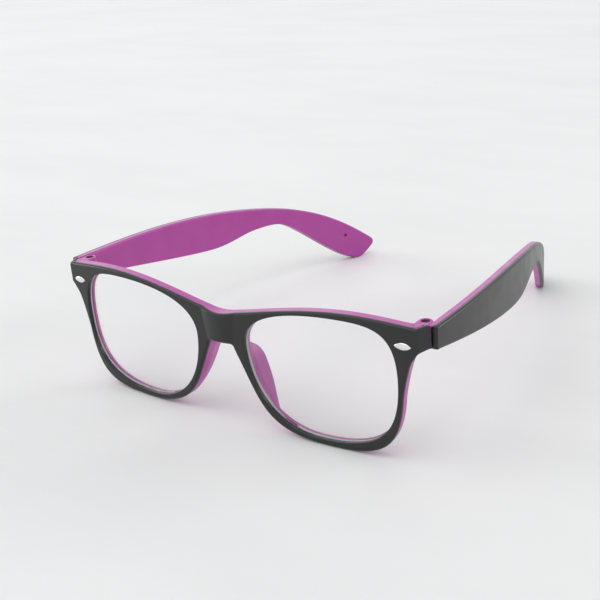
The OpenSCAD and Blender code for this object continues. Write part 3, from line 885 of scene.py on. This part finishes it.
# %% Lenses
lens_t, lens_edge, lens_gap = 1.75, lens_bite - 0.06, 0.06
ridge_near, ridge_far = 0.46 * lens_t, 0.52 * lens_t
lens_loop = soften(lens_raw, 0.8, corner_soft)
bevel_rings = [(0.0, 0.0), (-lens_edge, ridge_near), (-lens_edge, ridge_far), (0.0, lens_t)]
blank, blank_faces = plate_parts([lens_loop], [bevel_rings],
                                 lambda x, y, depth: np.column_stack([x, depth, y]), 2.2)
bevel_faces = len(lens_loop) * (len(bevel_rings) - 1)
for side_name, sign in (("left", -1), ("right", 1)):
    flat_blank = blank * [sign, 1, 1] * MM
    lens = apply_tree("lens_" + side_name + "_clear", flat_blank, blank_faces, lens_tree, {
        "Wrap radius": (wrap_r - black_t - lens_gap) * MM,
        "Centre X": sign * (flat_x - wrap_r * math.sin(wrap_start)) * MM,
        "Centre Y": (front_y + wrap_r * math.cos(wrap_start)) * MM,
        "Material": clear_lens})
    lens.data.materials.append(ground_edge_and_painted_highlight)
    for face in lens.data.polygons[:bevel_faces]:
        face.material_index = 1
    lens_mesh = bmesh.new()
    lens_mesh.from_mesh(lens.data)
    smooth_but_sharp(lens_mesh, lens.data)
    finish_piece(lens, "front", ["lens_" + side_name])

# %% [markdown]
# The temples. In side view a temple starts straight, deepens to a belly, narrows to a
# neck and bends down to a rounded tip. Seen from above it follows a large circle, which
# brings the tips together. The black layer lies outside and the purple one inside, and
# both have the small hole near the tip.

# %% The temple's drawing
temple_l, tip_h, butt_gap = 148, 10.3, 0.15
temple_y = butt_y + butt_gap
temple_x = hinge_x + 5.5
rear_y, tip_z = temple_y + temple_l, 5.8
bow_r = 337.0
bow_x, bow_y = temple_x - bow_r, temple_y + 8
temple_top, temple_low = end_top_z - 0.3, end_top_z - 7.4
bend_z = temple_top - 9
neck_z = bend_z - 7.4
belly_z = temple_top - 4.5 - 13.9
front_top = np.array([temple_y, temple_top])
bend = np.array([temple_y + 0.641 * temple_l, bend_z])
rear = np.array([rear_y, tip_z])
tip_cut = direction(-0.78, -0.63)
cut_end = rear + 0.45 * tip_h * tip_cut
tip = np.array([rear_y - 9, 0])
shank = np.array([temple_y + 0.75 * temple_l, neck_z - 7.3])
neck = np.array([temple_y + 0.607 * temple_l, neck_z])
belly = np.array([temple_y + 0.466 * temple_l, belly_z])
front_low = np.array([temple_y, temple_low])
bend_way, rear_way = direction(0.974, -0.228), direction(0.748, -0.664)
shank_way = direction(0.79, -0.61)
temple_raw = np.vstack([
    curve(front_top, front_top + (36.9, -1.1), bend - 35.6 * bend_way, bend),
    curve(bend, bend + 21.9 * bend_way, rear - 22.5 * rear_way, rear - 3 * rear_way),
    curve(rear - 3 * rear_way, rear - 1.3 * rear_way, rear + 1.3 * tip_cut, rear + 3 * tip_cut, 12),
    curve(cut_end, cut_end + 2 * tip_cut, tip + (2.2, 0), tip, 12),
    curve(tip, tip + (-6, 0.3), shank + 12 * shank_way, shank),
    curve(shank, shank - 10.3 * shank_way, neck + (10.6, 0), neck),
    curve(neck, neck + (-8.5, 0), belly + (8.5, 0), belly),
    curve(belly, belly + (-13.5, 0), front_low + (9.2, -1.7), front_low),
    [front_low],
])
temple_loop = soften(temple_raw, 0.9, 0.5)
hole_y, hole_z, hole_r = rear_y - 15, 12.2, 0.7
hole_slant = math.radians(21.8)
hole_loop = ring(hole_y, hole_z, hole_r / math.cos(hole_slant), hole_r, 20)
black_temple_t, temple_t = 1.4, 3.5
step_end, step_blend, step_depth = 3.1, 0.5, 0.5
print("temple %.1f x %.1f mm" % tuple(np.ptp(temple_loop, axis=0)))


def on_temple(y, z, depth):
    """A point of the right temple at y, z and depth below its outer face. The inner
    face steps back beside the hinge, to leave room for the lugs."""
    beside = np.clip((hinge_y + step_end - y) / step_blend, 0, 1)
    depth = np.minimum(depth, temple_t - step_depth * beside)
    x = bow_x + np.sqrt((bow_r - depth) ** 2 - (y - bow_y) ** 2)
    return np.column_stack([x, y, z])


# %% [markdown]
# Both layers are plates round that circle. The black one is rounded outside and the
# purple one inside. The front ends stay nearly square, because they close against the
# end piece, and the black skin is thicker there, so that the step beside the end piece
# shows black only. The purple layer also carries the hinge knuckle that sits between the
# two lugs.

# %% The temples
def temple_edge(radius, at_front):
    """An edge radius for each point of the temple: small where it meets the front."""
    away = np.clip((temple_loop[:, 0] - temple_y) / butt_blend, 0, 1)
    return at_front + (radius - at_front) * away


knuckle_sunk, knuckle_edge_r = 1.0, 0.2


def knuckle():
    """The knuckle that turns between the two lugs, rooted in the purple layer."""
    reach_x = temple_x - black_temple_t - knuckle_sunk
    turn = np.linspace(math.pi / 2, 2 * math.pi, 28)
    round_side = np.stack([hinge_x + knuckle_r * np.cos(turn), hinge_y + knuckle_r * np.sin(turn)], 1)
    square_side = [(reach_x, hinge_y), (reach_x, hinge_y + knuckle_r)]
    loop = soften(np.vstack([round_side, square_side]), 0.4, 0.12)
    height = knuckle_top - knuckle_low
    rings = (round_edge(knuckle_edge_r, 0, height / 2)
             + round_edge(knuckle_edge_r, height, height / 2 + 0.05))
    return plate_parts([loop, bore], [rings, [(0.0, 0), (0.0, height)]], stacked(knuckle_top), 0.6)


inner_edge_r, temple_butt_r, skin, rim_chamfer, inner_chamfer = 0.6, 0.12, 0.55, 0.12, 0.04
end_skin = skin * np.clip(1 - (temple_loop[:, 0] - temple_y - 0.1) / butt_blend, 0, 1)
outer_rings = round_edge(temple_edge(outer_edge_r, temple_butt_r), 0, black_temple_t, 7)
outer_rings[-1] = (outer_rings[-1][0], black_temple_t + end_skin)
inner_rings = round_edge(temple_edge(inner_edge_r, temple_butt_r), temple_t, black_temple_t + bond)
inner_rings[0] = (inner_rings[0][0], black_temple_t + bond + end_skin)
hole_outer = [(rim_chamfer, 0), (0.0, rim_chamfer), (0.0, black_temple_t)]
hole_inner = [(0.0, black_temple_t + bond), (0.0, temple_t - inner_chamfer),
              (inner_chamfer, temple_t)]
outer_layer = plate_parts([temple_loop, hole_loop], [outer_rings, hole_outer], on_temple, 2.0)
inner_layer = plate_parts([temple_loop, hole_loop], [inner_rings, hole_inner], on_temple, 2.0)
knuckle_part = knuckle()
for side_name, sign in (("left", -1), ("right", 1)):
    body = "temple_" + side_name
    to_object(body + "_black", [on_side(outer_layer, sign)], black_plastic, body,
              ["temple_outer_" + side_name])
    to_object(body + "_purple", [on_side(inner_layer, sign), on_side(knuckle_part, sign)],
              purple_plastic, body, ["temple_inner_" + side_name])

# %% [markdown]
# The two rivet plates are the same small pointed oval with a low dome, and they lie on
# the front's surface. One tree shapes the oval from a grid box by formula and puts a
# copy on each of two points, turned to the surface there.

# %% The rivet tree
rivet_tree, given = new_tree("rivet_plates", {
    "Length": 0.0053, "Height": 0.00225, "Rim": 0.0002, "Dome": 0.0004, "Sunk": 0.0003})
calc = partial(calculate, rivet_tree)
box = add_node(rivet_tree, "GeometryNodeMeshCube", {
    "Size": (2, 2, 2), "Vertices X": 37, "Vertices Y": 17, "Vertices Z": 4})
unit = point_place(rivet_tree)
half_l = calc("DIVIDE", given["Length"], 2.0)
half_h = calc("DIVIDE", given["Height"], 2.0)
x = calc("MULTIPLY", unit["X"], half_l)
squares = calc("ADD", calc("MULTIPLY", half_l, half_l), calc("MULTIPLY", half_h, half_h))
eye_r = calc("DIVIDE", squares, given["Height"])
rise = calc("SQRT", calc("SUBTRACT", calc("MULTIPLY", eye_r, eye_r), calc("MULTIPLY", x, x)))
width = calc("MAXIMUM", calc("SUBTRACT", rise, calc("SUBTRACT", eye_r, half_h)), 0.0)
y = calc("MULTIPLY", unit["Y"], width)
across_left = calc("SUBTRACT", 1.0, calc("MULTIPLY", unit["Y"], unit["Y"]))
share = calc("DIVIDE", width, half_h)
dome = calc("MULTIPLY", calc("MULTIPLY", across_left, share), given["Dome"])
top_z = calc("ADD", given["Rim"], dome)
low_z = calc("MULTIPLY", given["Sunk"], -1.0)
level = calc("MULTIPLY", calc("ADD", unit["Z"], 1.0), 0.5)
wall_z = calc("ADD", low_z, calc("MULTIPLY", level, calc("SUBTRACT", given["Rim"], low_z)))
is_top = calc("GREATER_THAN", unit["Z"], 0.9)
is_wall = calc("SUBTRACT", 1.0, is_top)
z = calc("ADD", calc("MULTIPLY", is_top, top_z), calc("MULTIPLY", is_wall, wall_z))
shape = moved_to(rivet_tree, box.outputs["Mesh"], joined(rivet_tree, x, y, z))
weld = add_node(rivet_tree, "GeometryNodeMergeByDistance", {"Geometry": shape, "Distance": 1e-6})
plate = add_node(rivet_tree, "GeometryNodeSetShadeSmooth", {"Geometry": weld.outputs[0]})
turn = add_node(rivet_tree, "GeometryNodeInputNamedAttribute", {"Name": "turn"}, data_type="FLOAT")
copies = add_node(rivet_tree, "GeometryNodeInstanceOnPoints", {
    "Points": given["Geometry"], "Instance": plate.outputs[0],
    "Rotation": joined(rivet_tree, math.pi / 2, 0.0, turn.outputs["Attribute"])})
close_tree(rivet_tree, copies.outputs[0], given)
print("rivet tree:", len(rivet_tree.nodes), "nodes")

# %% Rivets
rivet_in, rivet_down = 4.5, 5.6
rivet_u, rivet_z = float(np.interp(end_x - rivet_in, plan_x, plan_u)), end_top_z - rivet_down
rivet_points = np.vstack([on_front(np.array([sign * rivet_u]), np.array([rivet_z]), 0.0)
                          for sign in (-1, 1)])
rivet_turn = [float(np.interp(sign * rivet_u, plan_u, way)) for sign in (-1, 1)]
rivets = apply_tree("rivet_plates", to_frame(rivet_points), [], rivet_tree,
                    {"Material": rivet_metal}, {"turn": rivet_turn})
finish_piece(rivets, "front", ["rivet_left", "rivet_right"])

# %% [markdown]
# The hinge screws are two copies of one small slotted screw, so a second tree makes a
# head and a shank, cuts the slot with a boolean and places the pair. A fault is known
# here: the booleans run with the float solver, which mostly loses the shank, because its
# top lies in one plane with the head's. The bores hide that. The exact solver keeps it.

# %% The screw tree
screw_tree, given = new_tree("hinge_screws", {
    "Head radius": 0.0013, "Head height": 0.0004, "Shank radius": 0.0007, "Length": 0.0062,
    "Slot width": 0.0004})
blade_l, screw_sides = 0.006, 40


def hanging_cylinder(radius, height):
    """A cylinder whose top face lies at the screw's top."""
    rod = add_node(screw_tree, "GeometryNodeMeshCylinder",
                   {"Vertices": screw_sides, "Radius": radius, "Depth": height})
    drop = joined(screw_tree, 0.0, 0.0, calculate(screw_tree, "MULTIPLY", height, -0.5))
    inputs = {"Geometry": rod.outputs["Mesh"], "Translation": drop}
    return add_node(screw_tree, "GeometryNodeTransform", inputs).outputs[0]


screw_head = hanging_cylinder(given["Head radius"], given["Head height"])
screw_shank = hanging_cylinder(given["Shank radius"], given["Length"])
whole = add_node(screw_tree, "GeometryNodeMeshBoolean", {"Mesh 2": screw_head}, operation="UNION")
screw_tree.links.new(screw_shank, whole.inputs["Mesh 2"])
blade = add_node(screw_tree, "GeometryNodeMeshCube", {
    "Size": joined(screw_tree, blade_l, given["Slot width"], given["Head height"])})
cut = add_node(screw_tree, "GeometryNodeMeshBoolean", {
    "Mesh 1": whole.outputs["Mesh"], "Mesh 2": blade.outputs["Mesh"]}, operation="DIFFERENCE")
copies = add_node(screw_tree, "GeometryNodeInstanceOnPoints", {
    "Points": given["Geometry"], "Instance": cut.outputs["Mesh"]})
close_tree(screw_tree, copies.outputs[0], given)
print("screw tree:", len(screw_tree.nodes), "nodes")

# %% Hinge screws
screw_sunk = 0.35
screw_top, screw_low = screw_box[1].z - screw_sunk, screw_box[0].z
screw_points = to_frame([(sign * hinge_x, hinge_y, screw_top) for sign in (-1, 1)])
screws = apply_tree("hinge_screws", screw_points, [], screw_tree, {
    "Length": (screw_top - screw_low) * MM, "Material": screw_metal})
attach(screws, "front")
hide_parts("hinge_screw_left", "hinge_screw_right")

# %% [markdown]
# The table is a plain pale surface with a trace of uneven tone, matt enough to show no
# lamp. The room is a little brighter to the eye than it lights, so that a low view has no
# grey horizon, and the same holds for what is seen in a gloss or through a lens.

# %% Floor and world
table_half = 3.0
floor_mesh = bpy.data.meshes.new("table_top")
floor_corners = [(-table_half, -table_half, 0), (table_half, -table_half, 0),
                 (table_half, table_half, 0), (-table_half, table_half, 0)]
floor_mesh.from_pydata(floor_corners, [], [(0, 1, 2, 3)])
floor = bpy.data.objects.new("table_top", floor_mesh)
bpy.context.scene.collection.objects.link(floor)
pale_table, tree, shader = new_finish("pale_table")
shader.inputs["Roughness"].default_value = 0.6
shader.inputs["Specular IOR Level"].default_value = 0.12
streaks = noise(tree, stretched(tree, object_place(tree), (1, 2.4, 1), (0, 0, 0.5)), 6, 5, 0.6)
table_tone = ramp(tree, streaks, [(0.35, (0.85, 0.85, 0.85)), (0.6, (0.88, 0.88, 0.88))])
tree.links.new(table_tone, shader.inputs["Base Color"])
floor_mesh.materials.append(pale_table)

world = bpy.data.worlds.new("soft_room")
bpy.context.scene.world = world
world.use_nodes = True
tree = world.node_tree
room = tree.nodes["Background"]
room.inputs["Color"].default_value = (0.98, 0.99, 1.0, 1)
light_given, light_seen = 0.60, 0.84
rays = add_node(tree, "ShaderNodeLightPath").outputs
looked_at = rays["Is Camera Ray"]
for kind in ("Is Glossy Ray", "Is Transmission Ray"):
    looked_at = calculate(tree, "MAXIMUM", looked_at, rays[kind])
tree.links.new(spread(tree, looked_at, 0, 1, light_given, light_seen), room.inputs["Strength"])
print("room: gives", light_given, "and shows", light_seen)

# %% [markdown]
# The light comes from four large soft lamps: a window low behind on the left, which puts a
# pale gloss on all that faces up, a top lamp for the table, and one lamp on each side for
# the plastic's sheen. They stand far out, so the table is lit evenly.

# %% Lamps
def lamp(name, place, aim_z, size, power):
    """A soft rectangular lamp that faces the middle of the table at height aim_z."""
    data = bpy.data.lights.new(name, "AREA")
    data.shape = "RECTANGLE"
    data.size, data.size_y = size
    data.energy = power
    piece = bpy.data.objects.new(name, data)
    bpy.context.scene.collection.objects.link(piece)
    piece.location = place
    to_aim = Vector((0, 0, aim_z)) - Vector(place)
    piece.rotation_euler = to_aim.to_track_quat("-Z", "Y").to_euler()


lamp("window", (-3.45, 4.65, 2.0), aim_z=0.0, size=(5.4, 2.7), power=36.0)
lamp("top", (-0.5, -1.0, 3.2), aim_z=0.0, size=(3.5, 3.5), power=36.0)
lamp("left", (-3.0, -0.9, 1.0), aim_z=0.02, size=(1.5, 1.2), power=22.0)
lamp("right", (4.3, 4.05, 1.8), aim_z=0.02, size=(4.0, 2.25), power=100.0)
bpy.context.scene.view_settings.view_transform = "Standard"

# %% [markdown]
# The camera stands where the photographer's did: to the right of the front, a little
# above, and rolled slightly. Its place and angles were solved from the photo.

# %% Camera
azimuth, elevation, roll = (math.radians(a) for a in (36.763, 22.235, -4.885))
camera_x, camera_y, camera_z = 197.417, -220.524, 160.703
focal_px, photo_px = 1028.28, 600
back_dir = Vector((math.sin(azimuth) * math.cos(elevation),
                   -math.cos(azimuth) * math.cos(elevation), math.sin(elevation)))
level_right = Vector((math.cos(azimuth), math.sin(azimuth), 0))
level_up = back_dir.cross(level_right)
right = level_right * math.cos(roll) + level_up * math.sin(roll)
upward = back_dir.cross(right)
camera_data = bpy.data.cameras.new("photo_view")
camera_data.sensor_fit = "HORIZONTAL"
camera_data.sensor_width = 36.0
camera_data.lens = focal_px / photo_px * camera_data.sensor_width
camera = bpy.data.objects.new("photo_view", camera_data)
bpy.context.scene.collection.objects.link(camera)
camera_place = Vector((camera_x, camera_y + front_y, camera_z)) * MM
turned = Matrix((right, upward, back_dir)).transposed().to_4x4()
camera.matrix_world = Matrix.Translation(camera_place) @ turned
bpy.context.scene.camera = camera
print("camera %.1f mm lens" % camera_data.lens)
